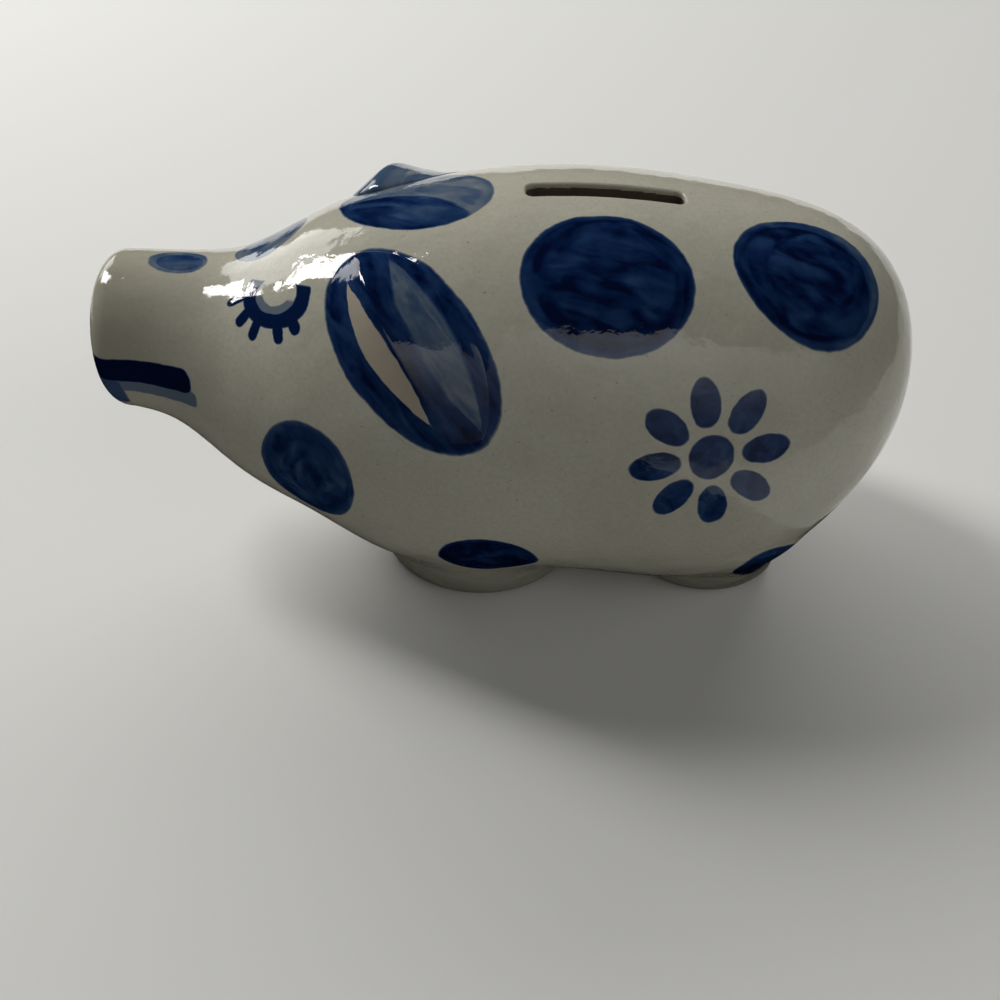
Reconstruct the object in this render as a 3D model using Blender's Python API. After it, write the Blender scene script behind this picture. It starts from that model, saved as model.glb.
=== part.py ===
"""Stoneware pig coin bank: a hollow body on four feet, two applied ears and a belly stopper.

The pig stands on the XY plane with its length along X, its snout towards -X and its left
side towards -Y.  The origin is on the floor, under the middle of the bounding box.
"""
import math

import bmesh
import bpy
import numpy as np

MM = 0.001

# Driving dimensions, in millimetres.
LENGTH = 205.0
HALF = LENGTH / 2
WALL = 5.0
GAP = 0.3
SNOUT_RIM = 5.0

# Sections across the body: distance from mid-length, radius, height of the section's centre.
SECTIONS = [
    (-97.0, 20.3, 66.8),
    (-84.0, 22.6, 64.4),
    (-69.0, 29.6, 58.1),
    (-50.0, 39.3, 57.7),
    (-27.0, 49.1, 56.0),
    (0.0, 52.3, 57.9),
    (27.0, 52.8, 58.4),
    (52.0, 52.1, 56.6),
    (74.0, 46.0, 58.8),
    (89.0, 34.7, 63.6),
    (98.0, 21.7, 66.0),
    (HALF, 0.0, 67.0),
]
OUTER_RINGS = 36
OUTER_SIDES = 48
INNER_RINGS = 24
INNER_SIDES = 32

# Feet: each pair stands about a common upright axis and is split by a channel.  Higher up,
# a pair spreads straight out to the sides, so that the flanks run down into the feet, and
# leans forwards or back a little at its ends.
FRONT_FEET_X = -5.5
FRONT_FEET_RADIUS = 31.0
FRONT_FEET_SIDES = 11.7
FRONT_FEET_ENDS = 6.0
REAR_FEET_X = 61.4
REAR_FEET_RADIUS = 25.8
REAR_FEET_SIDES = 13.9
REAR_FEET_ENDS = -4.0
SPREAD_HEIGHT = 25.0
END_POWER = 1.5
SIDE_SHARE = 3.0
SPREAD_LEVELS = [6.0, 12.0, 18.0, 24.0, 29.0]
FOOT_EDGE = 1.2
FOOT_TOP_INSET = 2.5
FOOT_TOP = 35.0
CHANNEL_WIDTH = 26.0
FOOT_SIDES = 40

# Coin slot, cut through the back.
SLOT_CENTRE_X = 21.5
SLOT_CENTRE_Y = 1.5
SLOT_LENGTH = 37.0
SLOT_WIDTH = 6.0
SLOT_BOTTOM = 95.0
SLOT_TOP = 120.0
SLOT_END_SIDES = 8

# Belly opening and its stopper, on one upright axis.
STOPPER_X = 31.0
HOLE_RADIUS = 12.7
SEAT_Z = 8.0
SEAT_RADIUS = 15.2
BOSS_RADIUS = 20.0
BOSS_TOP = 13.0
FLANGE_RADIUS = 14.5
FLANGE_THICKNESS = 1.8
FLANGE_EDGE = 0.5
SKIRT_TOP = 14.5
SKIRT_TAPER = 0.6
RECESS_RADIUS = 8.6
RECESS_ROOF = 11.8
PULL_RADIUS = 3.0
PULL_DROP = 5.0
ROUND_SIDES = 40

# Ears: an oval flap bent over the flank, pinched up into a ridge along its length.
EAR_X = -22.0
EAR_ANGLE = math.radians(44.7)
EAR_HALF_LENGTH = 28.0
EAR_HALF_WIDTH = 14.4
EAR_LEAN = math.radians(121.5)
EAR_BEND_RADIUS = 50.0
EAR_EDGE = 0.8
RIDGE_HEIGHT = 3.8
RIDGE_PEAK = 11.0
RIDGE_REACH = 20.5
RIDGE_OFFSET = -1.5
RIDGE_SWEEP = 0.0053
RIDGE_FRONT = 3.2
RIDGE_BACK = 14.0
EAR_RINGS = [0.22, 0.42, 0.6, 0.76, 0.9, 1.0]
EAR_SIDES = 36

GLAZE = (0.30, 0.28, 0.235)
COBALT = (0.020, 0.045, 0.16)
RUBBER = (0.035, 0.033, 0.032)


def clear_scene():
    for item in list(bpy.data.objects):
        bpy.data.objects.remove(item, do_unlink=True)


def material(name, colour, roughness):
    result = bpy.data.materials.new(name)
    result.use_nodes = True
    shader = result.node_tree.nodes["Principled BSDF"]
    shader.inputs["Base Color"].default_value = (*colour, 1.0)
    shader.inputs["Roughness"].default_value = roughness
    shader.inputs["Metallic"].default_value = 0.0
    return result


class NaturalSpline:
    """Natural cubic curve through the knots (x, y)."""

    def __init__(self, knots, values):
        self.x = np.array(knots)
        self.y = np.array(values)
        steps = np.diff(self.x)
        slopes = np.diff(self.y) / steps
        size = len(knots)
        matrix = np.eye(size)
        right = np.zeros(size)
        for i in range(1, size - 1):
            matrix[i, i - 1] = steps[i - 1]
            matrix[i, i] = 2 * (steps[i - 1] + steps[i])
            matrix[i, i + 1] = steps[i]
            right[i] = 6 * (slopes[i] - slopes[i - 1])
        self.bend = np.linalg.solve(matrix, right)

    def __call__(self, at):
        i = int(np.clip(np.searchsorted(self.x, at) - 1, 0, len(self.x) - 2))
        step = self.x[i + 1] - self.x[i]
        a = (self.x[i + 1] - at) / step
        b = (at - self.x[i]) / step
        curve = (a ** 3 - a) * self.bend[i] + (b ** 3 - b) * self.bend[i + 1]
        return float(a * self.y[i] + b * self.y[i + 1] + curve * step ** 2 / 6)


# The radius is splined as its square, which rounds the rump off without a point.
RADIUS_SQUARED = NaturalSpline([s[0] for s in SECTIONS], [s[1] ** 2 for s in SECTIONS])
CENTRE_HEIGHT = NaturalSpline([s[0] for s in SECTIONS], [s[2] for s in SECTIONS])


def body_radius(x):
    radius = math.sqrt(max(RADIUS_SQUARED(max(x, SECTIONS[0][0])), 0.0))
    depth = x + HALF
    if depth < SNOUT_RIM:
        radius -= SNOUT_RIM - math.sqrt(SNOUT_RIM ** 2 - (SNOUT_RIM - depth) ** 2)
    return radius


def body_centre(x):
    return CENTRE_HEIGHT(max(x, SECTIONS[0][0]))


def ring(x, radius, sides):
    centre = body_centre(x)
    points = []
    for i in range(sides):
        turn = 2 * math.pi * i / sides
        points.append((x, radius * math.cos(turn), centre + radius * math.sin(turn)))
    return points


def new_object(name, mesh, finish, smooth_angle=35.0):
    mesh.materials.append(finish)
    mesh.shade_smooth()
    mesh.set_sharp_from_angle(angle=math.radians(smooth_angle))
    result = bpy.data.objects.new(name, mesh)
    bpy.context.scene.collection.objects.link(result)
    return result


def mesh_from(name, build):
    """Makes a closed mesh, in metres, from a function that fills a bmesh in millimetres."""
    shape = bmesh.new()
    build(shape)
    bmesh.ops.scale(shape, vec=(MM, MM, MM), verts=shape.verts)
    bmesh.ops.recalc_face_normals(shape, faces=shape.faces)
    mesh = bpy.data.meshes.new(name)
    shape.to_mesh(mesh)
    shape.free()
    return mesh


def loft(shape, rings, first, last):
    """Skins a row of equal rings and closes both ends on a single point."""
    rows = [[shape.verts.new(p) for p in points] for points in rings]
    for near, far in zip(rows, rows[1:]):
        for i in range(len(near)):
            j = (i + 1) % len(near)
            shape.faces.new((near[i], near[j], far[j], far[i]))
    for row, tip in ((rows[0], first), (rows[-1], last)):
        pole = shape.verts.new(tip)
        for i in range(len(row)):
            shape.faces.new((row[i], row[(i + 1) % len(row)], pole))


def turned(shape, profile, centre_x, sides):
    """Turns (radius, height) points about an upright axis; both ends lie on the axis."""
    rings = []
    for radius, height in profile[1:-1]:
        points = []
        for i in range(sides):
            turn = 2 * math.pi * i / sides
            x = centre_x + radius * math.cos(turn)
            points.append((x, radius * math.sin(turn), height))
        rings.append(points)
    loft(shape, rings, (centre_x, 0, profile[0][1]), (centre_x, 0, profile[-1][1]))


def outer_skin(shape):
    rim = []
    for i in range(4):
        rim.append(-HALF + SNOUT_RIM * (1 - math.cos(math.pi / 2 * i / 4)))
    straight = []
    for i in range(OUTER_RINGS):
        sweep = math.sin(math.pi / 2 * i / OUTER_RINGS)
        straight.append(-HALF + SNOUT_RIM + (LENGTH - SNOUT_RIM) * sweep)
    rings = [ring(x, body_radius(x), OUTER_SIDES) for x in rim + straight]
    nose = (-HALF, 0, body_centre(-HALF))
    loft(shape, rings, nose, (HALF, 0, body_centre(HALF)))


def inner_skin(shape):
    """The cavity: the outer profile moved inwards, square to itself, by the wall."""
    start = -HALF + SNOUT_RIM
    rings = [ring(-HALF + WALL, body_radius(start) - WALL, INNER_SIDES)]
    for i in range(1, INNER_RINGS):
        x = start + (HALF - start) * math.sin(math.pi / 2 * i / INNER_RINGS)
        slope = (body_radius(x + 0.05) - body_radius(x - 0.05)) / 0.1
        across = 1 / math.hypot(1, slope)
        rings.append(ring(x + WALL * slope * across, body_radius(x) - WALL * across, INNER_SIDES))
    nose = (-HALF + WALL, 0, body_centre(-HALF))
    loft(shape, rings, nose, (HALF - WALL, 0, body_centre(HALF)))


def box(shape, low, high):
    corners = []
    for z in (low[2], high[2]):
        for x, y in ((low[0], low[1]), (high[0], low[1]), (high[0], high[1]), (low[0], high[1])):
            corners.append(shape.verts.new((x, y, z)))
    shape.faces.new(corners[:4])
    shape.faces.new(corners[4:])
    for i in range(4):
        j = (i + 1) % 4
        shape.faces.new((corners[i], corners[j], corners[4 + j], corners[4 + i]))


def foot_reach(radius, sides, ends, height, turn):
    """Distance from the feet's own axis to their wall, at a height and a direction."""
    rise = max(height, 0.0) / SPREAD_HEIGHT
    share = abs(math.sin(turn)) ** SIDE_SHARE
    return radius + sides * rise * share + ends * rise ** END_POWER * (1 - share)


def feet_solid(shape, centre_x, radius, sides, ends):
    levels = [(0.0, FOOT_EDGE), (FOOT_EDGE, 0.0)]
    levels += [(height, 0.0) for height in SPREAD_LEVELS]
    levels.append((FOOT_TOP, FOOT_TOP_INSET))
    rings = []
    for height, inset in levels:
        points = []
        for i in range(FOOT_SIDES):
            turn = 2 * math.pi * i / FOOT_SIDES
            out = foot_reach(radius, sides, ends, height, turn) - inset
            points.append((centre_x + out * math.cos(turn), out * math.sin(turn), height))
        rings.append(points)
    loft(shape, rings, (centre_x, 0, 0), (centre_x, 0, FOOT_TOP))


def slot_solid(shape):
    """An upright prism whose outline is a slot with round ends."""
    radius = SLOT_WIDTH / 2
    outline = []
    for end in (1, -1):
        centre = SLOT_CENTRE_X + end * (SLOT_LENGTH / 2 - radius)
        for i in range(SLOT_END_SIDES + 1):
            turn = math.pi * (i / SLOT_END_SIDES - 0.5)
            x = centre + end * radius * math.cos(turn)
            outline.append((x, SLOT_CENTRE_Y + end * radius * math.sin(turn)))
    low = [shape.verts.new((x, y, SLOT_BOTTOM)) for x, y in outline]
    high = [shape.verts.new((x, y, SLOT_TOP)) for x, y in outline]
    shape.faces.new(low)
    shape.faces.new(high)
    for i in range(len(low)):
        j = (i + 1) % len(low)
        shape.faces.new((low[i], low[j], high[j], high[i]))


def stopper_profile():
    top = SEAT_Z - GAP
    bottom = top - FLANGE_THICKNESS
    skirt = HOLE_RADIUS - GAP
    tip = skirt - SKIRT_TAPER
    return [
        (0, RECESS_ROOF - PULL_DROP),
        (PULL_RADIUS, RECESS_ROOF - PULL_DROP),
        (PULL_RADIUS - FLANGE_EDGE, RECESS_ROOF),
        (RECESS_RADIUS, RECESS_ROOF),
        (RECESS_RADIUS + FLANGE_EDGE, bottom),
        (FLANGE_RADIUS - FLANGE_EDGE, bottom),
        (FLANGE_RADIUS, bottom + FLANGE_EDGE),
        (FLANGE_RADIUS, top - FLANGE_EDGE),
        (FLANGE_RADIUS - FLANGE_EDGE, top),
        (skirt, top),
        (tip, SKIRT_TOP - FLANGE_EDGE),
        (tip - FLANGE_EDGE, SKIRT_TOP),
        (0, SKIRT_TOP),
    ]


def ear_height(along, across):
    """Thickness of the flap: a ridge with a steep front and a long slope behind it."""
    ridge = RIDGE_OFFSET + RIDGE_SWEEP * max(along, 0.0) ** 2
    height = RIDGE_HEIGHT * math.exp(-((along - RIDGE_PEAK) / RIDGE_REACH) ** 2)
    behind = across - ridge
    if behind < 0:
        height *= math.exp(-(behind / RIDGE_FRONT) ** 2)
    else:
        height *= max(0.0, 1 - behind / RIDGE_BACK) ** 1.3
    return EAR_EDGE + height


def skin_point(along, across, lift, side):
    """Lays a point of the ear's own plane on the body, lifted off it by a distance."""
    x = EAR_X + along * math.cos(EAR_LEAN) + across * math.sin(EAR_LEAN)
    climb = along * math.sin(EAR_LEAN) - across * math.cos(EAR_LEAN)
    angle = EAR_ANGLE + climb / EAR_BEND_RADIUS
    slope = (body_radius(x + 0.5) - body_radius(x - 0.5))
    reach = body_radius(x) + lift
    shift = -slope * lift
    return (x + shift, side * reach * math.cos(angle), body_centre(x) + reach * math.sin(angle))


def ear_solid(shape, side):
    rows = []
    for top in (True, False):
        layer = []
        for scale in EAR_RINGS:
            points = []
            for i in range(EAR_SIDES):
                turn = 2 * math.pi * i / EAR_SIDES
                along = scale * EAR_HALF_LENGTH * math.cos(turn)
                across = scale * EAR_HALF_WIDTH * math.sin(turn)
                lift = GAP + (ear_height(along, across) if top else 0.0)
                points.append(skin_point(along, across, lift, side))
            layer.append(points)
        rows.append(layer)
    upper, lower = rows
    rings = upper + lower[::-1]
    crown = skin_point(0, 0, GAP + ear_height(0, 0), side)
    loft(shape, rings, crown, skin_point(0, 0, GAP, side))


def hidden_tool(name, build, finish):
    tool = new_object(name, mesh_from(name, build), finish)
    tool.hide_render = True
    tool.display_type = "WIRE"
    return tool


def combine(target, tool, operation):
    step = target.modifiers.new(tool.name, "BOOLEAN")
    step.operation = operation
    step.solver = "EXACT"
    step.object = tool


def feet_tool(name, sizes, channel, finish):
    def build(shape):
        feet_solid(shape, *sizes)
    feet = hidden_tool(name, build, finish)
    combine(feet, channel, "DIFFERENCE")
    return feet


def cylinder_tool(name, radius, low, high, finish):
    profile = [(0, low), (radius, low), (radius, high), (0, high)]

    def build(shape):
        turned(shape, profile, STOPPER_X, ROUND_SIDES)
    return hidden_tool(name, build, finish)


def body_shell(glaze):
    body = new_object("body_shell", mesh_from("body_shell", outer_skin), glaze)
    half = CHANNEL_WIDTH / 2

    def channel_box(shape):
        box(shape, (-HALF, -half, -1.0), (HALF, half, FOOT_TOP + 1.0))
    channel = hidden_tool("foot_channel", channel_box, glaze)
    front_sizes = (FRONT_FEET_X, FRONT_FEET_RADIUS, FRONT_FEET_SIDES, FRONT_FEET_ENDS)
    rear_sizes = (REAR_FEET_X, REAR_FEET_RADIUS, REAR_FEET_SIDES, REAR_FEET_ENDS)
    front = feet_tool("front_feet", front_sizes, channel, glaze)
    rear = feet_tool("rear_feet", rear_sizes, channel, glaze)
    boss = cylinder_tool("hole_boss", BOSS_RADIUS, 0.0, BOSS_TOP, glaze)
    cavity = hidden_tool("cavity", inner_skin, glaze)
    combine(cavity, boss, "DIFFERENCE")
    slot = hidden_tool("slot_cutter", slot_solid, glaze)
    seat = cylinder_tool("seat_cutter", SEAT_RADIUS, 0.0, SEAT_Z, glaze)
    hole = cylinder_tool("hole_cutter", HOLE_RADIUS, -1.0, BOSS_TOP + WALL, glaze)
    combine(body, front, "UNION")
    combine(body, rear, "UNION")
    for tool in (cavity, slot, seat, hole):
        combine(body, tool, "DIFFERENCE")
    return body


def ear(name, side, paint):
    def build(shape):
        ear_solid(shape, side)
    return new_object(name, mesh_from(name, build), paint)


def stopper(rubber):
    """The stopper's origin is on its own axis, level with the seat it closes on."""
    def build(shape):
        turned(shape, stopper_profile(), 0.0, ROUND_SIDES)
        bmesh.ops.translate(shape, vec=(0, 0, -SEAT_Z), verts=shape.verts)
    plug = new_object("stopper", mesh_from("stopper", build), rubber)
    plug.location = (STOPPER_X * MM, 0.0, SEAT_Z * MM)
    return plug


def main():
    clear_scene()
    glaze = material("glazed_stoneware", GLAZE, 0.12)
    paint = material("cobalt_glaze", COBALT, 0.12)
    rubber = material("stopper_rubber", RUBBER, 0.6)
    body_shell(glaze)
    ear("ear_left", -1, paint)
    ear("ear_right", 1, paint)
    stopper(rubber)


main()
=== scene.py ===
"""Looks of the stoneware pig coin bank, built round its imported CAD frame.

The shell is remeshed from its CAD node and drawn onto one smooth mathematical surface, so
that the glaze reflects cleanly.  The painted marks are masks in the glaze's own material.
Shape sizes are in millimetres; meshes are scaled to metres as they are made.
"""

import math

import bmesh
import bpy
import numpy as np
from mathutils import Matrix, Vector


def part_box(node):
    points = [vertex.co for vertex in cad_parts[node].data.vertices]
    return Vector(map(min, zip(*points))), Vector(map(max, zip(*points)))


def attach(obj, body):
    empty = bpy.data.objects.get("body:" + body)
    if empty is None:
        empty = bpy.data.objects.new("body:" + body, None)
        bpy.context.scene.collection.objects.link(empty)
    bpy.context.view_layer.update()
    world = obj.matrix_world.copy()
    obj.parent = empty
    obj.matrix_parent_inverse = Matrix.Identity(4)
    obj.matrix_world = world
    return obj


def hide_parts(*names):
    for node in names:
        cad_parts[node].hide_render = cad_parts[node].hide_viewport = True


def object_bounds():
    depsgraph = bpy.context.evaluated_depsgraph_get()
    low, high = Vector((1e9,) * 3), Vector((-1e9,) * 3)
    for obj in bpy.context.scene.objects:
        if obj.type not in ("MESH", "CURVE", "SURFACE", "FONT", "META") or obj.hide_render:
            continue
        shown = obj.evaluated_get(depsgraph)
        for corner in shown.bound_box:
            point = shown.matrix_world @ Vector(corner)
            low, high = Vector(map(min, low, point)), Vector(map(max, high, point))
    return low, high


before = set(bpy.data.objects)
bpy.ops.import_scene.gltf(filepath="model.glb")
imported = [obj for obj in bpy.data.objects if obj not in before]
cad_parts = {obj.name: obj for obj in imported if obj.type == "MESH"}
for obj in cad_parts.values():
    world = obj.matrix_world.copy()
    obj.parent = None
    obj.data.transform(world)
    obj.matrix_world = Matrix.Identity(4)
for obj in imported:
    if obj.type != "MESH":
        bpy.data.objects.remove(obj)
cad_low, cad_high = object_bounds()

MM = 0.001

# Body: the round barrel's wall, and its sections (distance from mid-length, radius, height
# of the section's centre).
HALF = (cad_high.x - cad_low.x) / 2 / MM
SNOUT_RIM = 5.0
WALL = 5.0
SECTIONS = [
    (-97.0, 20.3, 66.8),
    (-84.0, 22.6, 64.4),
    (-69.0, 29.6, 58.1),
    (-50.0, 39.3, 57.7),
    (-27.0, 49.1, 56.0),
    (0.0, 52.3, 57.9),
    (27.0, 52.8, 58.4),
    (52.0, 52.1, 56.6),
    (74.0, 46.0, 58.8),
    (89.0, 34.7, 63.6),
    (98.0, 21.7, 66.0),
    (HALF, 0.0, 67.0),
]

# Feet: (distance from mid-length, radius at the floor, spread to the sides and spread at
# the ends, both at the spread height).  The spread stops growing at SPREAD_LIMIT spread
# heights, and FLARE_SLOPE turns the horizontal gap to a flared wall into a distance.
FEET = [(-5.5, 30.6, 11.7, 6.0), (61.4, 25.6, 13.9, -4.0)]
SPREAD_HEIGHT = 25.0
END_POWER = 1.5
SIDE_SHARE = 3.0
FOOT_TOP = 50.0
FOOT_SHOULDER = 15.0
FOOT_EDGE = 1.2
HALF_CHANNEL = 13.0
CHANNEL_ROUND = 4.5
FOOT_BLEND = 3.0
SPREAD_LIMIT = 1.6
FLARE_SLOPE = 0.9

# Coin slot: centre, half sizes, and the rounding of its corners and lip.
SLOT_X = 21.5
SLOT_Y = 1.5
SLOT_HALF_LENGTH = 18.5
SLOT_HALF_WIDTH = 2.9
SLOT_CORNER = 1.9
SLOT_LIP = 0.7
SLOT_FLOOR = 85.0

# Belly opening.
PLUG_X = 31.0
HOLE_RADIUS = 12.7
SEAT_Z = 8.0
SEAT_RADIUS = 15.2
BOSS_RADIUS = 20.0
BOSS_TOP = 13.0

# Rounding: of the cavity's ends, of the boss that stands in it, of any edge between the
# cavity and the outer form, and of the belly hole's edges.
CAVITY_ROUND = 3.0
BOSS_ROUND = 1.0
INNER_EDGE = 0.8
HOLE_EDGE = 0.5

# Ears: an oval flap laid on the flank, pinched up into a ridge along its length.
EAR_X = -22.0
EAR_ANGLE = math.radians(44.7)
EAR_HALF_LENGTH = 27.6
EAR_HALF_WIDTH = 14.2
EAR_LEAN = math.radians(121.5)
EAR_BEND_RADIUS = 50.0
EAR_SKIN = 0.35
EAR_SUNK = 0.8
RIDGE_HEIGHT = 5.0
RIDGE_PEAK = 11.0
RIDGE_REACH = 20.5
RIDGE_OFFSET = -1.5
RIDGE_SWEEP = 0.0053
RIDGE_FRONT = 10.0
RIDGE_TIP = 1.2
RIDGE_BACK = 13.0
EAR_RINGS = 44
EAR_SIDES = 120

# Meshing: faces are cut finer within each reach of the slot and the belly hole, and faces
# deeper than CLAY_DEPTH inside the outer form are bare clay.
VOXEL = 1.2
NEWTON_STEPS = 7
RELAX_ROUNDS = 4
FINE_REACHES = (2.6, 1.8)
CLAY_DEPTH = 1.3

# Painted spots: name, x, angle above the horizontal of the side view, half sizes, tilt, the
# darker core inside the wash (its shift and its size as fractions of the spot), the paint's
# density in the core and in the wash, how far the strokes follow the outline, and the swell
# towards the spot's far end.
LEFT_SPOTS = [
    ("snout", -82.6, 93.8, 7.2, 5.4, -1, (0.06, -0.08), (0.80, 0.72), 0.70, 0.50, 0.5, 0.0),
    ("brow", -59.4, 100.4, 10.3, 8.2, 11, (0.0, -0.04), (0.84, 0.78), 0.56, 0.44, 0.5, 0.0),
    ("crown", -23.5, 96.4, 20.3, 14.0, -23, (-0.06, -0.62), (0.97, 0.56), 0.84, 0.46, 0.2, 0.0),
    ("cheek", -47.2, -2.8, 15.7, 13.2, 71, (0.0, 0.0), (0.94, 0.92), 0.84, 0.68, 0.7, 0.05),
    ("flank", 21.5, 61.2, 19.4, 17.4, -11, (0.0, 0.02), (0.98, 0.95), 0.93, 0.70, 0.35, 0.0),
    ("rump", 67.4, 69.5, 18.1, 17.0, -16, (-0.05, -0.05), (0.93, 0.92), 0.93, 0.66, 0.55, 0.16),
    ("front_leg", -2.2, -24.0, 12.6, 10.7, -10, (0.0, 0.0), (0.95, 0.9), 0.95, 0.84, 0.8, 0.0),
    ("rear_leg", 71.6, -38.7, 18.4, 9.6, -66, (0.0, 0.0), (0.93, 0.9), 0.88, 0.8, 0.8, 0.0),
]
RIGHT_SPOTS = [
    ("cheek", -48.0, 3.0, 14.0, 12.8, 60, (0.0, 0.0), (0.94, 0.92), 0.84, 0.70, 0.7, 0.05),
    ("flank", 22.0, 40.0, 19.0, 16.0, 14, (0.02, 0.06), (0.95, 0.91), 0.93, 0.62, 0.4, 0.0),
    ("rump", 78.0, 44.0, 16.0, 14.5, -24, (-0.05, -0.06), (0.92, 0.91), 0.93, 0.62, 0.8, 0.16),
    ("front_leg", -4.0, -24.0, 13.0, 10.0, 8, (0.0, 0.0), (0.95, 0.9), 0.92, 0.78, 0.8, 0.0),
    ("rear_leg", 66.0, -30.0, 12.0, 9.0, -12, (0.0, 0.0), (0.93, 0.9), 0.90, 0.76, 0.8, 0.0),
]


class NaturalSpline:
    """Natural cubic curve through the knots (x, y)."""

    def __init__(self, knots, values):
        self.x = np.array(knots, float)
        self.y = np.array(values, float)
        steps = np.diff(self.x)
        slopes = np.diff(self.y) / steps
        size = len(knots)
        matrix = np.eye(size)
        right = np.zeros(size)
        for i in range(1, size - 1):
            matrix[i, i - 1] = steps[i - 1]
            matrix[i, i] = 2 * (steps[i - 1] + steps[i])
            matrix[i, i + 1] = steps[i]
            right[i] = 6 * (slopes[i] - slopes[i - 1])
        self.bend = np.linalg.solve(matrix, right)

    def __call__(self, at):
        i = np.clip(np.searchsorted(self.x, at) - 1, 0, len(self.x) - 2)
        step = self.x[i + 1] - self.x[i]
        a = (self.x[i + 1] - at) / step
        b = (at - self.x[i]) / step
        curve = (a ** 3 - a) * self.bend[i] + (b ** 3 - b) * self.bend[i + 1]
        return a * self.y[i] + b * self.y[i + 1] + curve * step ** 2 / 6


RADIUS_SQUARED = NaturalSpline([s[0] for s in SECTIONS], [s[1] ** 2 for s in SECTIONS])
CENTRE_HEIGHT = NaturalSpline([s[0] for s in SECTIONS], [s[2] for s in SECTIONS])
TIP_SLOPE = (RADIUS_SQUARED(HALF) - RADIUS_SQUARED(HALF - 0.01)) / 0.01


def radius_squared(x):
    inside = np.clip(x, SECTIONS[0][0], HALF)
    return RADIUS_SQUARED(inside) + np.maximum(x - HALF, 0) * TIP_SLOPE


def centre_height(x):
    return CENTRE_HEIGHT(np.clip(x, SECTIONS[0][0], HALF))


def inside_both(a, b, rounding):
    """Distance to the solid common to two, with their shared edge rounded."""
    flat = np.minimum(np.maximum(a, b), -rounding)
    return flat + np.hypot(np.maximum(rounding + a, 0), np.maximum(rounding + b, 0))


def either(a, b, blend):
    """Distance to the union of two solids, with a fillet where they meet."""
    near = np.maximum(blend - np.abs(a - b), 0) / blend
    return np.minimum(a, b) - near * near * blend / 4


def barrel(p):
    """Distance outside the round body, for points in rows of (x, y, z)."""
    x, y, z = p[:, 0], p[:, 1], p[:, 2]
    rise = z - centre_height(x)
    level = y * y + rise * rise - radius_squared(x)
    step = 0.25
    slope = (radius_squared(x + step) - radius_squared(x - step)) / (2 * step)
    drift = (centre_height(x + step) - centre_height(x - step)) / (2 * step)
    steepness = np.sqrt((2 * rise * drift + slope) ** 2 + 4 * y * y + 4 * rise * rise)
    return level / np.maximum(steepness, 4.0)


def pair_of_feet(p, centre_x, radius, sides, ends):
    """Distance to a flared round post, split lengthwise into a left and a right foot."""
    x, y, z = p[:, 0], p[:, 1], p[:, 2]
    reach = np.hypot(x - centre_x, y)
    share = (np.abs(y) / np.maximum(reach, 1.0)) ** SIDE_SHARE
    rise = np.clip(z / SPREAD_HEIGHT, 0, SPREAD_LIMIT)
    spread = sides * rise * share + ends * rise ** END_POWER * (1 - share)
    wall = FLARE_SLOPE * (reach - radius - spread)
    split = inside_both(wall, HALF_CHANNEL - np.abs(y), CHANNEL_ROUND)
    stood = inside_both(split, -z, FOOT_EDGE)
    return inside_both(stood, z - FOOT_TOP, FOOT_SHOULDER)


def outer_form(p):
    """Distance outside the glazed body: the barrel with its flat snout, and the feet."""
    form = inside_both(barrel(p), -p[:, 0] - HALF, SNOUT_RIM)
    for sizes in FEET:
        form = either(form, pair_of_feet(p, *sizes), FOOT_BLEND)
    return form


def cavity(p):
    """Distance outside the hollow, which leaves a boss of clay round the belly hole."""
    skin = inside_both(barrel(p) + WALL, WALL - HALF - p[:, 0], CAVITY_ROUND)
    reach = np.hypot(p[:, 0] - PLUG_X, p[:, 1])
    boss = np.maximum(reach - BOSS_RADIUS, p[:, 2] - BOSS_TOP)
    return inside_both(skin, -boss, BOSS_ROUND)


def slot_distance(p):
    """Distance outside the coin slot's outline, seen from above."""
    along = np.abs(p[:, 0] - SLOT_X) - SLOT_HALF_LENGTH + SLOT_CORNER
    across = np.abs(p[:, 1] - SLOT_Y) - SLOT_HALF_WIDTH + SLOT_CORNER
    corner = np.hypot(np.maximum(along, 0), np.maximum(across, 0))
    return corner + np.minimum(np.maximum(along, across), 0) - SLOT_CORNER


def shell_form(p):
    """Distance outside the fired clay, with its cavity, its slot and its belly hole."""
    form = inside_both(outer_form(p), -cavity(p), INNER_EDGE)
    slot = np.maximum(slot_distance(p), SLOT_FLOOR - p[:, 2])
    form = inside_both(form, -slot, SLOT_LIP)
    reach = np.hypot(p[:, 0] - PLUG_X, p[:, 1])
    seat = np.maximum(reach - SEAT_RADIUS, p[:, 2] - SEAT_Z)
    hole = np.maximum(reach - HOLE_RADIUS, p[:, 2] - 2 * BOSS_TOP)
    return inside_both(inside_both(form, -seat, HOLE_EDGE), -hole, HOLE_EDGE)


def gradient(form, p, step=0.04):
    """Slope of a form at each point, by central differences."""
    result = np.zeros_like(p)
    for axis in range(3):
        shift = np.zeros(3)
        shift[axis] = step
        result[:, axis] = (form(p + shift) - form(p - shift)) / (2 * step)
    return result


def drawn_onto(form, p, steps=NEWTON_STEPS):
    """Moves points along the gradient onto the surface where the form is zero."""
    for _ in range(steps):
        slope = gradient(form, p)
        square = np.maximum((slope * slope).sum(1), 0.05)
        move = -(form(p) / square)[:, None] * slope
        length = np.maximum(np.linalg.norm(move, axis=1), 1e-9)
        p = p + move * np.minimum(1.0, 1.0 / length)[:, None]
    return p


def unit(v):
    return v / np.maximum(np.linalg.norm(v, axis=-1, keepdims=True), 1e-9)


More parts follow.
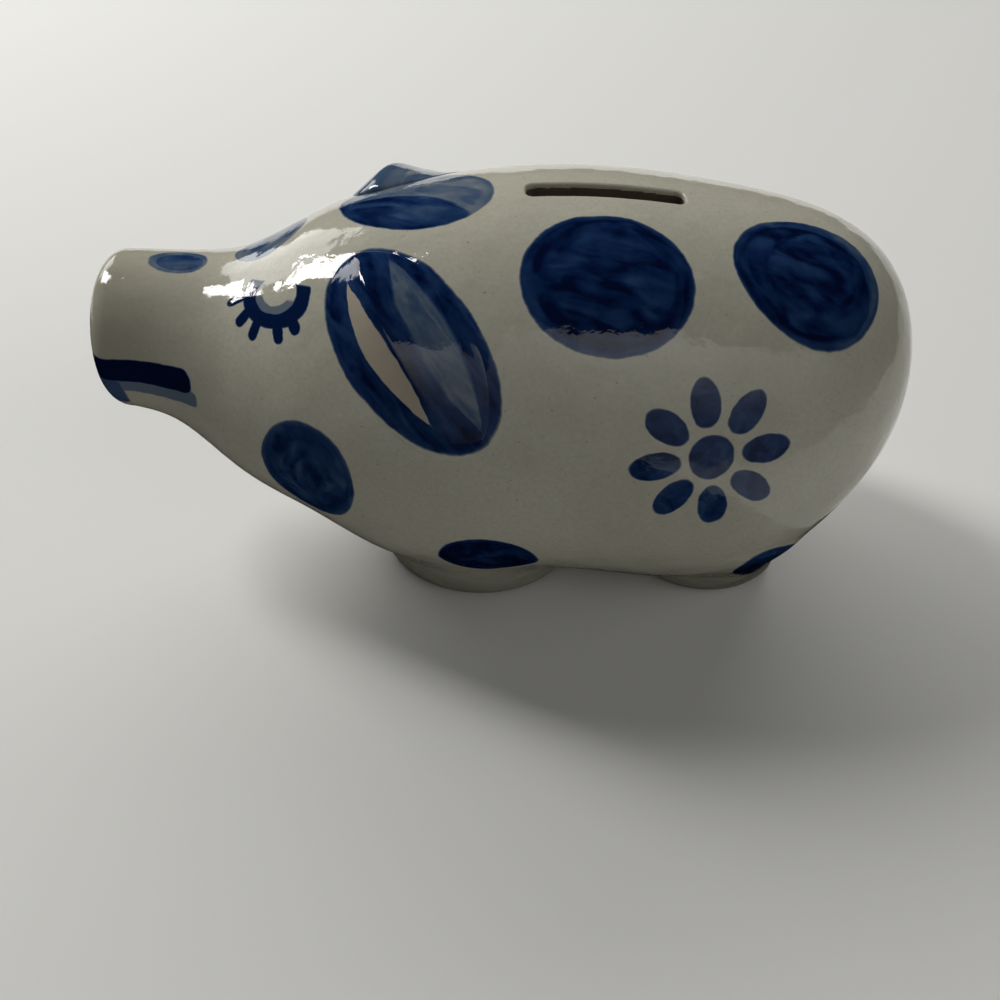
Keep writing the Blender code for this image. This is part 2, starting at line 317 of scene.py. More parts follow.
def skin_point(x, degrees, side=-1):
    """The point of the body at a distance along it and an angle above the horizontal."""
    angle = math.radians(degrees)
    centre = float(centre_height(np.array([x]))[0])
    radius = math.sqrt(float(radius_squared(np.array([x]))[0]))
    start = np.array([[x, side * radius * math.cos(angle), centre + radius * math.sin(angle)]])
    return drawn_onto(outer_form, start, 12)[0]


def skin_axes(point):
    """Axes in the skin at a point: along the pig, round it, and out of it."""
    out = unit(gradient(outer_form, point[None]))[0]
    along = unit(np.array([1.0, 0.0, 0.0]) - out * out[0])
    return along, np.cross(out, along), out


def vertices_of(mesh):
    flat = np.empty(len(mesh.vertices) * 3)
    mesh.vertices.foreach_get("co", flat)
    return flat.reshape(-1, 3)


def place_vertices(mesh, p):
    mesh.vertices.foreach_set("co", np.ascontiguousarray(p, dtype=np.float64).ravel())
    mesh.update()


def relaxed(mesh, p):
    """Each vertex at the mean of its neighbours."""
    pairs = np.empty(len(mesh.edges) * 2, dtype=np.int64)
    mesh.edges.foreach_get("vertices", pairs)
    pairs = pairs.reshape(-1, 2)
    total = np.zeros_like(p)
    count = np.zeros(len(p))
    for a, b in ((0, 1), (1, 0)):
        np.add.at(total, pairs[:, a], p[pairs[:, b]])
        np.add.at(count, pairs[:, a], 1)
    return total / np.maximum(count, 1)[:, None]


def linked(name, mesh):
    result = bpy.data.objects.new(name, mesh)
    bpy.context.scene.collection.objects.link(result)
    return result


def voxel_copy(node, size):
    """A fresh even mesh over a CAD node, in millimetres."""
    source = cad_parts[node].data.copy()
    shape = bmesh.new()
    shape.from_mesh(source)
    bmesh.ops.remove_doubles(shape, verts=shape.verts, dist=1e-6)
    bmesh.ops.scale(shape, vec=(1 / MM, 1 / MM, 1 / MM), verts=shape.verts)
    shape.to_mesh(source)
    shape.free()
    work = linked("voxel_work", source)
    step = work.modifiers.new("voxels", "REMESH")
    step.mode = "VOXEL"
    step.voxel_size = size
    graph = bpy.context.evaluated_depsgraph_get()
    mesh = bpy.data.meshes.new_from_object(work.evaluated_get(graph))
    bpy.data.objects.remove(work)
    bpy.data.meshes.remove(source)
    return mesh


def face_centres(mesh):
    flat = np.empty(len(mesh.polygons) * 3)
    mesh.polygons.foreach_get("center", flat)
    return flat.reshape(-1, 3)


def refine(mesh, chosen):
    """Cuts the chosen faces into four."""
    shape = bmesh.new()
    shape.from_mesh(mesh)
    shape.faces.ensure_lookup_table()
    edges = set()
    for i in np.nonzero(chosen)[0]:
        edges.update(shape.faces[i].edges)
    bmesh.ops.subdivide_edges(shape, edges=list(edges), cuts=1, use_grid_fill=True)
    wide = [f for f in shape.faces if len(f.verts) > 4]
    bmesh.ops.triangulate(shape, faces=wide)
    shape.to_mesh(mesh)
    shape.free()


def near_fine_edges(p, reach):
    """Marks the points close to the slot's outline or to the belly hole's two edges."""
    slot = (np.abs(slot_distance(p)) < reach) & (p[:, 2] > SLOT_FLOOR)
    ring = np.hypot(p[:, 0] - PLUG_X, p[:, 1])
    lip = (np.abs(ring - SEAT_RADIUS) < reach) | (np.abs(ring - HOLE_RADIUS) < reach)
    return slot | (lip & (p[:, 2] < BOSS_TOP + 2))


def smooth_mesh(mesh, form):
    """Shades a mesh with the exact normals of the surface that it lies on."""
    p = vertices_of(mesh)
    normals = unit(gradient(form, p))
    mesh.shade_smooth()
    mesh.normals_split_custom_set_from_vertices(normals)


def to_metres(mesh):
    place_vertices(mesh, vertices_of(mesh) * MM)


def shell_mesh():
    mesh = voxel_copy("body_shell", VOXEL)
    p = drawn_onto(shell_form, vertices_of(mesh))
    for _ in range(RELAX_ROUNDS):
        p = drawn_onto(shell_form, 0.5 * p + 0.5 * relaxed(mesh, p), 3)
    place_vertices(mesh, p)
    for reach in FINE_REACHES:
        refine(mesh, near_fine_edges(face_centres(mesh), reach))
        place_vertices(mesh, drawn_onto(shell_form, vertices_of(mesh), 4))
    return mesh


def ear_height(along, across):
    """Height of the flap over the skin: a ridge with a steep front, and a long slope behind."""
    ridge = RIDGE_OFFSET + RIDGE_SWEEP * np.maximum(along, 0.0) ** 2
    height = RIDGE_HEIGHT * np.exp(-((along - RIDGE_PEAK) / RIDGE_REACH) ** 2)
    behind = across - ridge
    before = np.hypot(np.minimum(behind, 0), RIDGE_TIP) - RIDGE_TIP
    front_shape = np.maximum(0.0, 1 - before / RIDGE_FRONT) ** 1.2
    back_shape = np.maximum(0.0, 1 - np.maximum(behind, 0) / RIDGE_BACK) ** 1.5
    rounded = height * np.where(behind < 0, front_shape, back_shape)
    edge = np.hypot(along / EAR_HALF_LENGTH, across / EAR_HALF_WIDTH)
    rim = np.sqrt(np.maximum(0.0, 1 - edge ** 6))
    return (EAR_SKIN + rounded) * rim


def ear_mesh(name, side):
    """A closed flap: its top follows the ridge, and its bottom lies just under the skin."""
    rings = np.sin(np.linspace(0.02, 1.0, EAR_RINGS) * math.pi / 2)
    turns = np.arange(EAR_SIDES) * 2 * math.pi / EAR_SIDES
    along = EAR_HALF_LENGTH * rings[:, None] * np.cos(turns)[None]
    across = EAR_HALF_WIDTH * rings[:, None] * np.sin(turns)[None]
    x = EAR_X + along * math.cos(EAR_LEAN) + across * math.sin(EAR_LEAN)
    climb = along * math.sin(EAR_LEAN) - across * math.cos(EAR_LEAN)
    angle = EAR_ANGLE + climb / EAR_BEND_RADIUS
    radius = np.sqrt(radius_squared(x.ravel())).reshape(x.shape)
    centre = centre_height(x.ravel()).reshape(x.shape)
    y = side * radius * np.cos(angle)
    foot = np.stack([x, y, centre + radius * np.sin(angle)], -1).reshape(-1, 3)
    foot = drawn_onto(barrel, foot, 4)
    out = unit(gradient(barrel, foot))
    height = ear_height(along, across).reshape(-1, 1)
    top = foot + out * height
    count = len(foot)
    low = foot - out * EAR_SUNK
    points = np.concatenate([top, low])
    faces = []
    for layer in (0, count):
        for i in range(EAR_RINGS - 1):
            for j in range(EAR_SIDES):
                k = (j + 1) % EAR_SIDES
                a = layer + i * EAR_SIDES
                b = a + EAR_SIDES
                quad = (a + j, b + j, b + k, a + k)
                faces.append(quad if (layer == 0) == (side < 0) else quad[::-1])
        inner = [layer + j for j in range(EAR_SIDES)]
        faces.append(inner if (layer == 0) == (side < 0) else inner[::-1])
    last = (EAR_RINGS - 1) * EAR_SIDES
    for j in range(EAR_SIDES):
        k = (j + 1) % EAR_SIDES
        quad = (last + j, count + last + j, count + last + k, last + k)
        faces.append(quad if side < 0 else quad[::-1])
    mesh = bpy.data.meshes.new(name)
    mesh.from_pydata((points * MM).tolist(), [], [tuple(int(v) for v in f) for f in faces])
    shape = bmesh.new()
    shape.from_mesh(mesh)
    bmesh.ops.recalc_face_normals(shape, faces=shape.faces)
    shape.to_mesh(mesh)
    shape.free()
    mesh.shade_smooth()
    return mesh


class Tree:
    """Short forms for the nodes of a material."""

    def __init__(self, material):
        material.use_nodes = True
        self.nodes = material.node_tree.nodes
        self.links = material.node_tree.links
        self.shader = self.nodes["Principled BSDF"]

    def put(self, socket, value):
        if isinstance(value, bpy.types.NodeSocket):
            self.links.new(value, socket)
        else:
            socket.default_value = value

    def math(self, operation, a, b=None, c=None, clamp=False):
        node = self.nodes.new("ShaderNodeMath")
        node.operation = operation
        node.use_clamp = clamp
        for socket, value in zip(node.inputs, (a, b, c)):
            if value is not None:
                self.put(socket, value)
        return node.outputs[0]

    def vector(self, operation, a, b=None, scale=None):
        node = self.nodes.new("ShaderNodeVectorMath")
        node.operation = operation
        self.put(node.inputs[0], a)
        if b is not None:
            self.put(node.inputs[1], b)
        if scale is not None:
            self.put(node.inputs["Scale"], scale)
        number = operation in ("LENGTH", "DOT_PRODUCT", "DISTANCE")
        return node.outputs["Value" if number else "Vector"]

    def step(self, value, start, end, low=0.0, high=1.0):
        """A ramp from low to high as the value goes from start to end."""
        node = self.nodes.new("ShaderNodeMapRange")
        for socket, number in zip(node.inputs, (value, start, end, low, high)):
            self.put(socket, number)
        return node.outputs[0]

    def noise(self, where, scale, detail=2.0, roughness=0.5, distortion=0.0):
        node = self.nodes.new("ShaderNodeTexNoise")
        self.put(node.inputs["Vector"], where)
        node.inputs["Scale"].default_value = scale
        node.inputs["Detail"].default_value = detail
        node.inputs["Roughness"].default_value = roughness
        node.inputs["Distortion"].default_value = distortion
        return node

    def split(self, vector):
        node = self.nodes.new("ShaderNodeSeparateXYZ")
        self.put(node.inputs[0], vector)
        return node.outputs

    def join(self, x, y, z):
        node = self.nodes.new("ShaderNodeCombineXYZ")
        for socket, value in zip(node.inputs, (x, y, z)):
            self.put(socket, value)
        return node.outputs[0]

    def colours(self, value, stops):
        node = self.nodes.new("ShaderNodeValToRGB")
        self.put(node.inputs[0], value)
        ramp = node.color_ramp
        while len(ramp.elements) < len(stops):
            ramp.elements.new(0.5)
        for element, (place, colour) in zip(ramp.elements, stops):
            element.position = place
            element.color = (*colour, 1.0)
        return node.outputs[0]

    def mix(self, factor, a, b):
        node = self.nodes.new("ShaderNodeMix")
        node.data_type = "RGBA"
        self.put(node.inputs[0], factor)
        for socket, value in ((node.inputs[6], a), (node.inputs[7], b)):
            self.put(socket, value if isinstance(value, bpy.types.NodeSocket) else (*value, 1.0))
        return node.outputs[2]

    def local(self, where, origin, axes, sizes):
        """Coordinates in units of the sizes, in axes set at an origin given in millimetres."""
        node = self.nodes.new("ShaderNodeMapping")
        node.vector_type = "TEXTURE"
        self.put(node.inputs["Vector"], where)
        turn = Matrix([list(a) for a in axes]).transposed().to_euler()
        node.inputs["Location"].default_value = [c * MM for c in origin]
        node.inputs["Rotation"].default_value = turn
        node.inputs["Scale"].default_value = [s * MM for s in sizes]
        return node.outputs[0]

    def bump(self, height, distance, normal=None):
        node = self.nodes.new("ShaderNodeBump")
        node.inputs["Strength"].default_value = 1.0
        node.inputs["Distance"].default_value = distance
        self.put(node.inputs["Height"], height)
        if normal is not None:
            self.put(node.inputs["Normal"], normal)
        return node.outputs[0]


def tilted(axes, degrees):
    """Axes in the skin turned about the direction out of it."""
    along, up, out = axes
    turn = math.radians(degrees)
    first = along * math.cos(turn) + up * math.sin(turn)
    return first, np.cross(out, first), out


# Half depth of a painted mark through the skin, so that it paints one side of the pig only.
MARK_DEPTH = 24.0


def brush_strokes(tree, place, follow, seed, length, width):
    """Streaks along the first axis in the middle of a mark, bending round near its edge."""
    u, v, _ = tree.split(place)
    edge = tree.vector("LENGTH", place)
    streak = tree.math("MULTIPLY", v, width / 4.4)
    straight = tree.join(tree.math("MULTIPLY", u, length / 12.0), streak, seed)
    turn = tree.math("ARCTAN2", v, u)
    curl = tree.join(
        tree.math("MULTIPLY", tree.math("COSINE", turn), 1.4),
        tree.math("MULTIPLY", edge, width / 4.2),
        tree.math("ADD", tree.math("SINE", turn), seed),
    )
    flat_noise = tree.noise(straight, 1.0, 2.0, 0.42, 0.7).outputs[0]
    ring_noise = tree.noise(curl, 1.0, 2.0, 0.42, 0.6).outputs[0]
    share = tree.step(edge, 1.0 - follow, 1.15 - follow)
    mixed = tree.math("MULTIPLY", tree.math("SUBTRACT", ring_noise, flat_noise), share)
    return tree.math("ADD", flat_noise, mixed)


def spot(tree, where, grain, entry, side=-1):
    """Paint density of one brushed spot: a wash with a darker core that shows its strokes."""
    _, x, angle, length, width, tilt, shift, core_size, core, wash, follow, egg = entry
    origin = skin_point(x, angle, side)
    axes = tilted(skin_axes(origin), tilt)
    place = tree.local(where, origin, axes, (length, width, MARK_DEPTH))
    u, v, depth = tree.split(place)
    swell = tree.math("MULTIPLY_ADD", u, -egg, 1.0)
    place = tree.join(u, tree.math("MULTIPLY", v, swell), depth)
    strokes = brush_strokes(tree, place, follow, x + angle, length, width)
    edge = tree.vector("LENGTH", place)
    soft = 0.3 / width
    inside = tree.step(edge, 1 + soft, 1 - soft)
    moved = tree.vector("SUBTRACT", place, (shift[0], shift[1], 0.0))
    core_edge = tree.vector("LENGTH", tree.vector("DIVIDE", moved, (*core_size, 1.0)))
    rough_edge = tree.math("ADD", core_edge, tree.step(strokes, 0.35, 0.65, -0.05, 0.05))
    core_inside = tree.step(rough_edge, 1.03, 0.96)
    stroke = tree.step(strokes, 0.33, 0.67, -0.15, 0.12)
    pool = tree.step(edge, 0.88, 0.99, 0.0, 0.05)
    body = tree.math("ADD", tree.step(core_inside, 0.0, 1.0, wash, core), stroke)
    body = tree.math("ADD", tree.math("ADD", body, pool), grain)
    return tree.math("MULTIPLY", body, inside)


def capsule(tree, flat, start, end, radius):
    """Ink of a dab from start to end, in the plane of a local frame in millimetres."""
    run = (end[0] - start[0], end[1] - start[1], 0.0)
    square = run[0] ** 2 + run[1] ** 2
    offset = tree.vector("SUBTRACT", flat, (start[0], start[1], 0.0))
    share = tree.math("DIVIDE", tree.vector("DOT_PRODUCT", offset, run), square, clamp=True)
    nearest = tree.vector("SCALE", run, scale=share)
    away = tree.vector("LENGTH", tree.vector("SUBTRACT", offset, nearest))
    return tree.step(away, radius + 0.2, radius - 0.2)


def combined(tree, inks):
    """The densest of several inks at each point."""
    total = inks[0]
    for ink in inks[1:]:
        total = tree.math("MAXIMUM", total, ink)
    return total


def flattened(tree, where, origin, axes):
    """Local coordinates in millimetres with the height over the skin removed."""
    place = tree.local(where, origin, axes, (1.0, 1.0, 1.0))
    height = tree.split(place)[2]
    flat = tree.vector("MULTIPLY", place, (1.0, 1.0, 0.0))
    near = tree.step(tree.math("ABSOLUTE", height), 16.0, 15.0)
    return flat, near


# Eye: its place on the skin, the open ring's centre, half sizes, tilt and half width, and
# the lashes (start, end, half width).
EYE_X = -56.0
EYE_ANGLE = 63.1
EYE_ARC_CENTRE = (1.8, 0.6)
EYE_ARC_SIZE = (8.6, 6.6)
EYE_ARC_TILT = -31
EYE_STROKE = 1.65
LASHES = [
    ((-11.3, 1.1), (-7.0, 2.3), 1.2),
    ((-8.2, -4.2), (-6.0, -2.6), 1.5),
    ((-4.5, -8.2), (-2.9, -5.4), 1.4),
    ((2.9, -10.3), (2.6, -7.0), 1.4),
    ((7.7, -8.9), (6.6, -6.2), 1.45),
]


def eye_ink(tree, mirrored):
    """The eye: an open ring and its lashes in solid paint, and a thin wash inside."""
    origin = skin_point(EYE_X, EYE_ANGLE)
    axes = skin_axes(origin)
    flat, near = flattened(tree, mirrored, origin, axes)
    centre = origin + axes[0] * EYE_ARC_CENTRE[0] + axes[1] * EYE_ARC_CENTRE[1]
    sizes = (EYE_ARC_SIZE[0], EYE_ARC_SIZE[1], MARK_DEPTH)
    ring_axes = tilted(axes, EYE_ARC_TILT)
    place = tree.vector("MULTIPLY", tree.local(mirrored, centre, ring_axes, sizes), (1, 1, 0))
    reach = tree.vector("LENGTH", place)
    stroke = EYE_STROKE / EYE_ARC_SIZE[1]
    off = tree.math("ABSOLUTE", tree.math("SUBTRACT", reach, 1.0))
    band = tree.step(off, stroke + 0.03, stroke - 0.03)
    x, y, _ = tree.split(place)
    lid = tree.math("SUBTRACT", tree.math("MULTIPLY", x, 0.25), y)
    open_side = tree.step(lid, -0.52, -0.44)
    arc = tree.math("MULTIPLY", band, open_side)
    inks = [arc]
    for start, end, radius in LASHES:
        inks.append(capsule(tree, flat, start, end, radius))
    solid = tree.math("MULTIPLY", combined(tree, inks), near)
    inner = tree.math("SUBTRACT", 1.0 - stroke, reach)
    shade = tree.step(inner, 0.30, 0.24)
    low = tree.step(lid, 0.05, 0.25)
    wash = tree.math("MULTIPLY", tree.math("MULTIPLY", shade, low), near)
    wash = tree.math("MULTIPLY", wash, tree.step(inner, -0.05, 0.0))
    return tree.math("MULTIPLY", solid, 0.95), tree.math("MULTIPLY", wash, 0.42)


def round_bar(tree, u, v, centre, half, rounding):
    """Distance to a bar with round corners, in millimetres."""
    across = []
    for value, middle, size in ((u, centre[0], half[0]), (v, centre[1], half[1])):
        away = tree.math("ABSOLUTE", tree.math("SUBTRACT", value, middle))
        across.append(tree.math("MAXIMUM", tree.math("SUBTRACT", away, size - rounding), 0.0))
    reach = tree.vector("LENGTH", tree.join(across[0], across[1], 0.0))
    return tree.math("SUBTRACT", reach, rounding)


def mouth_ink(tree, where):
    """The mouth's dark band, the paler strip under it, and the block round the snout."""
    x, _, z = tree.split(tree.vector("SCALE", where, scale=1 / MM))
    rise = tree.math("SUBTRACT", z, tree.step(x, -100.0, -76.0, -0.2, 0.5))
    band = round_bar(tree, x, rise, (-100.0, 68.6), (23.6, 3.1), 2.6)
    strip = round_bar(tree, x, rise, (-100.0, 64.4), (24.6, 2.2), 1.4)
    block = round_bar(tree, x, z, (-110.0, 61.0), (14.2, 5.0), 2.0)
    return (
        tree.step(band, 0.25, -0.2, 0.0, 1.0),
        tree.step(strip, 0.4, -0.3, 0.0, 0.46),
        tree.step(block, 0.5, -0.4, 0.0, 0.66),
    )


# Painted ear: its place on the skin, half sizes and tilt, and the far one's thinner paint.
EAR_MARK = (-21.7, 45.3)
EAR_OVAL = (27.9, 15.6)
EAR_TILT = -52
FAR_EAR_PAINT = 0.62

# Leaves on the ear: centre, half sizes, tilt and bow.
SLIVER = ((-4.4, -1.3), (18.5, 3.1), -57, -0.55)
EAR_WASH = ((5.3, 0.9), (22.3, 4.3), -59, 0.27)


def lens(tree, mirrored, origin, axes, centre, sizes, tilt, bow):
    """Edge coordinate, 1 on the outline, of a bowed leaf whose two ends are pointed."""
    middle = origin + axes[0] * centre[0] + axes[1] * centre[1]
    place = tree.local(mirrored, middle, tilted(axes, tilt), (sizes[0], sizes[1], MARK_DEPTH))
    x, y, z = tree.split(place)
    taper = tree.math("SUBTRACT", 1.0, tree.math("MULTIPLY", x, x))
    width = tree.math("MAXIMUM", taper, 0.02)
    edge = tree.math("ABSOLUTE", tree.math("SUBTRACT", tree.math("DIVIDE", y, width), bow))
    beyond = tree.math("MAXIMUM", edge, tree.math("ABSOLUTE", x))
    return tree.math("MAXIMUM", beyond, tree.math("ABSOLUTE", z))


def ear_ink(tree, mirrored, grain):
    """The painted ear with a paler leaf in it, and the bare sliver down its middle."""
    origin = skin_point(*EAR_MARK)
    axes = skin_axes(origin)
    turned = tilted(axes, EAR_TILT)
    place = tree.local(mirrored, origin, turned, (EAR_OVAL[0], EAR_OVAL[1], MARK_DEPTH))
    edge = tree.vector("LENGTH", place)
    inside = tree.step(edge, 1.02, 0.98)
    bare = tree.step(lens(tree, mirrored, origin, axes, *SLIVER), 1.06, 0.92)
    thin = tree.step(lens(tree, mirrored, origin, axes, *EAR_WASH), 1.12, 0.86)
    strokes = tree.vector("MULTIPLY", place, (1.7, 4.4, 0.0))
    brush = tree.noise(strokes, 1.0, 3.0, 0.6, 0.6)
    stroke = tree.step(brush.outputs[0], 0.35, 0.68, -0.13, 0.11)
    rim = tree.step(edge, 0.9, 0.99, 0.0, -0.10)
    density = tree.math("ADD", tree.step(thin, 0.0, 1.0, 0.90, 0.56), stroke)
    density = tree.math("ADD", tree.math("ADD", density, rim), grain)
    painted = tree.math("MULTIPLY", density, inside)
    return tree.math("MULTIPLY", painted, tree.math("SUBTRACT", 1.0, bare)), bare


# Rosettes: their places on the skin of either side, their tilt, and their petals and disc.
ROSETTE = (46.5, 20.5)
FAR_ROSETTE = (42.0, -2.0)
ROSETTE_TILT = 11
ROSETTE_PETALS = 8
PETAL_MIDDLE = 12.6
PETAL_SIZE = (5.6, 3.4)
ROSETTE_DISC = 5.2


def rosette_ink(tree, where, x, angle, side=-1):
    """A flower of brush dabs round a disc, high on the hip."""
    origin = skin_point(x, angle, side)
    axes = tilted(skin_axes(origin), ROSETTE_TILT)
    flat, near = flattened(tree, where, origin, axes)
    u, v, _ = tree.split(flat)
    reach = tree.vector("LENGTH", flat)
    sector = 2 * math.pi / ROSETTE_PETALS
    turn = tree.math("DIVIDE", tree.math("ARCTAN2", v, u), sector)
    offset = tree.math("MULTIPLY", tree.math("SUBTRACT", turn, tree.math("ROUND", turn)), sector)
    along = tree.math("MULTIPLY", reach, tree.math("COSINE", offset))
    across = tree.math("MULTIPLY", reach, tree.math("SINE", offset))
    petal = tree.join(
        tree.math("DIVIDE", tree.math("SUBTRACT", along, PETAL_MIDDLE), PETAL_SIZE[0]),
        tree.math("DIVIDE", across, PETAL_SIZE[1]),
        0.0,
    )
    dab = tree.step(tree.vector("LENGTH", petal), 1.06, 0.94)
    disc = tree.step(reach, ROSETTE_DISC + 0.25, ROSETTE_DISC - 0.25)
    ink = tree.math("MULTIPLY", tree.math("MAXIMUM", dab, disc), near)
    brush = tree.noise(tree.vector("SCALE", flat, scale=0.16), 1.0, 3.0, 0.6, 0.8).outputs[0]
    return tree.math("MULTIPLY", ink, tree.step(brush, 0.35, 0.65, 0.70, 0.94))


# Colours: ramps of (place, colour), then single tones.
PAINT_STOPS = [
    (0.0, (0.24, 0.24, 0.235)),
    (0.42, (0.105, 0.130, 0.165)),
    (0.58, (0.045, 0.075, 0.130)),
    (0.76, (0.012, 0.034, 0.098)),
    (0.92, (0.003, 0.013, 0.055)),
    (1.0, (0.0015, 0.005, 0.027)),
]
GLAZE_STOPS = [(0.3, (0.372, 0.361, 0.294)), (0.7, (0.430, 0.421, 0.352))]
# Bare clay tones: the clay's own brown, made much darker as painted shade for the inside of the
# bank.
CLAY_AND_SHADE_STOPS = [(0.3, (0.055, 0.038, 0.024)), (0.7, (0.10, 0.074, 0.05))]
RUBBER_STOPS = [(0.35, (0.020, 0.020, 0.021)), (0.75, (0.050, 0.049, 0.048))]
MOTTLE = (0.289, 0.277, 0.220)
IRON_SPECK = (0.12, 0.09, 0.06)
# Painted shade for the snout end: a darker glaze tone that stands in for the shade falling
# there.
SNOUT_PAINTED_SHADE = (0.240, 0.227, 0.176)
EAR_SLIVER = (0.325, 0.285, 0.230)
WORN_FOOT = (0.22, 0.135, 0.07)


def glaze_material():
    """Grey salt-type glaze over stoneware, with cobalt brushwork under it."""
    material = bpy.data.materials.new("painted_glaze")
    tree = Tree(material)
    where = tree.nodes.new("ShaderNodeTexCoord").outputs["Object"]
    drift = tree.noise(where, 75.0, 2.0).outputs["Color"]
    drift = tree.vector("SCALE", tree.vector("SUBTRACT", drift, (0.5, 0.5, 0.5)), scale=1.6 * MM)
    shake = tree.noise(where, 420.0, 2.0).outputs["Color"]
    shake = tree.vector("SCALE", tree.vector("SUBTRACT", shake, (0.5, 0.5, 0.5)), scale=0.5 * MM)
    brushed = tree.vector("ADD", tree.vector("ADD", where, drift), shake)
    x, y, z = tree.split(brushed)
    mirrored = tree.join(x, tree.math("MULTIPLY", tree.math("ABSOLUTE", y), -1.0), z)

    fine = tree.noise(where, 260.0, 4.0, 0.6).outputs[0]
    grain = tree.step(fine, 0.3, 0.7, -0.05, 0.05)
    inks = [spot(tree, brushed, grain, entry) for entry in LEFT_SPOTS]
    inks += [spot(tree, brushed, grain, entry, 1) for entry in RIGHT_SPOTS]
    inks += eye_ink(tree, mirrored)
    inks += mouth_ink(tree, brushed)
    ear, bare = ear_ink(tree, mirrored, grain)
    far_side = tree.step(y, 0.0, 1.0 * MM, 1.0, FAR_EAR_PAINT)
    inks.append(tree.math("MULTIPLY", ear, far_side))
    inks.append(rosette_ink(tree, brushed, *ROSETTE))
    inks.append(rosette_ink(tree, brushed, *FAR_ROSETTE, 1))
    density = combined(tree, inks)

    broad = tree.noise(where, 26.0, 3.0, 0.55).outputs[0]
    glaze = tree.colours(broad, GLAZE_STOPS)
    mottle = tree.noise(where, 900.0, 3.0, 0.7).outputs[0]
    glaze = tree.mix(tree.step(mottle, 0.35, 0.7, 0.0, 0.35), glaze, MOTTLE)
    speck = tree.noise(where, 1500.0, 1.0, 0.5).outputs[0]
    glaze = tree.mix(tree.step(speck, 0.73, 0.78, 0.0, 0.6), glaze, IRON_SPECK)
    # Painted shade: the glaze darkens towards the snout end, in place of the shade that falls
    # there.
    thin = tree.step(x, -66 * MM, -96 * MM, 0.0, 0.62)
    glaze = tree.mix(thin, glaze, SNOUT_PAINTED_SHADE)
    glaze = tree.mix(bare, glaze, EAR_SLIVER)

    height = tree.split(where)[2]
    worn = tree.math("ADD", height, tree.step(fine, 0.3, 0.7, -0.4 * MM, 0.4 * MM))
    foot = tree.step(worn, 1.9 * MM, 1.2 * MM)
    glaze = tree.mix(foot, glaze, WORN_FOOT)

    paint = tree.colours(density, PAINT_STOPS)
    cover = tree.step(density, 0.12, 0.34)
    tree.put(tree.shader.inputs["Base Color"], tree.mix(cover, glaze, paint))

    dull = tree.step(fine, 0.3, 0.75, 0.035, 0.085)
    dull = tree.math("ADD", dull, tree.math("MULTIPLY", foot, 0.5))
    tree.put(tree.shader.inputs["Roughness"], dull)
    tree.shader.inputs["IOR"].default_value = 1.52
    waves = tree.noise(where, 85.0, 2.0, 0.5).outputs[0]
    normal = tree.bump(waves, 0.55 * MM)
    normal = tree.bump(tree.noise(where, 700.0, 2.0, 0.5).outputs[0], 0.035 * MM, normal)
    tree.put(tree.shader.inputs["Normal"], normal)
    return material


def clay_and_shade_material():
    """Unglazed fired clay, inside the bank and down the walls of its slot, its brown darkened as
    painted shade for the dim inside.
    """
    material = bpy.data.materials.new("bare_stoneware_and_shade")
    tree = Tree(material)
    where = tree.nodes.new("ShaderNodeTexCoord").outputs["Object"]
    broad = tree.noise(where, 120.0, 4.0, 0.6).outputs[0]
    # Painted shade: these clay tones are darker than bare stoneware, so the inside reads as
    # shaded.
    colour = tree.colours(broad, CLAY_AND_SHADE_STOPS)
    tree.put(tree.shader.inputs["Base Color"], colour)
    tree.shader.inputs["Roughness"].default_value = 0.85
    grit = tree.noise(where, 1300.0, 3.0, 0.6).outputs[0]
    tree.put(tree.shader.inputs["Normal"], tree.bump(grit, 0.12 * MM))
    return material


def rubber_material():
    """Matt black rubber with a little dust."""
    material = bpy.data.materials.new("moulded_rubber")
    tree = Tree(material)
    where = tree.nodes.new("ShaderNodeTexCoord").outputs["Object"]
    dust = tree.noise(where, 500.0, 4.0, 0.65).outputs[0]
    colour = tree.colours(dust, RUBBER_STOPS)
    tree.put(tree.shader.inputs["Base Color"], colour)
    tree.put(tree.shader.inputs["Roughness"], tree.step(dust, 0.3, 0.7, 0.5, 0.75))
    tree.put(tree.shader.inputs["Normal"], tree.bump(dust, 0.05 * MM))
    return material


def body_piece(glaze, clay):
    mesh = shell_mesh()
    mesh.materials.clear()
    mesh.materials.append(glaze)
    mesh.materials.append(clay)
    p = face_centres(mesh)
    inside = (outer_form(p) < -CLAY_DEPTH).astype(np.int32)
    mesh.polygons.foreach_set("material_index", inside)
    smooth_mesh(mesh, shell_form)
    to_metres(mesh)
    piece = linked("glazed_body", mesh)
    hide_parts("body_shell")
    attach(piece, "bank")


def ear_piece(name, node, side, glaze):
    mesh = ear_mesh(name, side)
    mesh.materials.append(glaze)
    piece = linked(name, mesh)
    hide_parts(node)
    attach(piece, "bank")


# Stopper, turned about its axis: radius, height above its seat, and rounding.
PLUG_SIDES = 96
PLUG_PROFILE = [
    (0.0, -1.4, 0.0),
    (3.0, -1.4, 0.5),
    (2.6, 3.8, 0.6),
    (8.6, 3.8, 0.6),
    (9.1, -2.1, 0.5),
    (14.5, -2.1, 0.7),
    (14.5, -0.3, 0.6),
    (12.4, -0.3, 0.2),
    (11.8, 6.5, 0.9),
    (0.0, 6.5, 0.0),
]


def rounded_profile(points, steps=4):
    """Replaces each inner corner of a line of (radius, height, rounding) by an arc."""
    result = [Vector(points[0][:2])]
    for before, here, after in zip(points, points[1:], points[2:]):
        corner = Vector(here[:2])
        back = (Vector(before[:2]) - corner).normalized()
        ahead = (Vector(after[:2]) - corner).normalized()
        start = corner + back * here[2]
        end = corner + ahead * here[2]
        for i in range(steps + 1):
            t = i / steps
            result.append(start * (1 - t) ** 2 + corner * 2 * t * (1 - t) + end * t ** 2)
    result.append(Vector(points[-1][:2]))
    return result


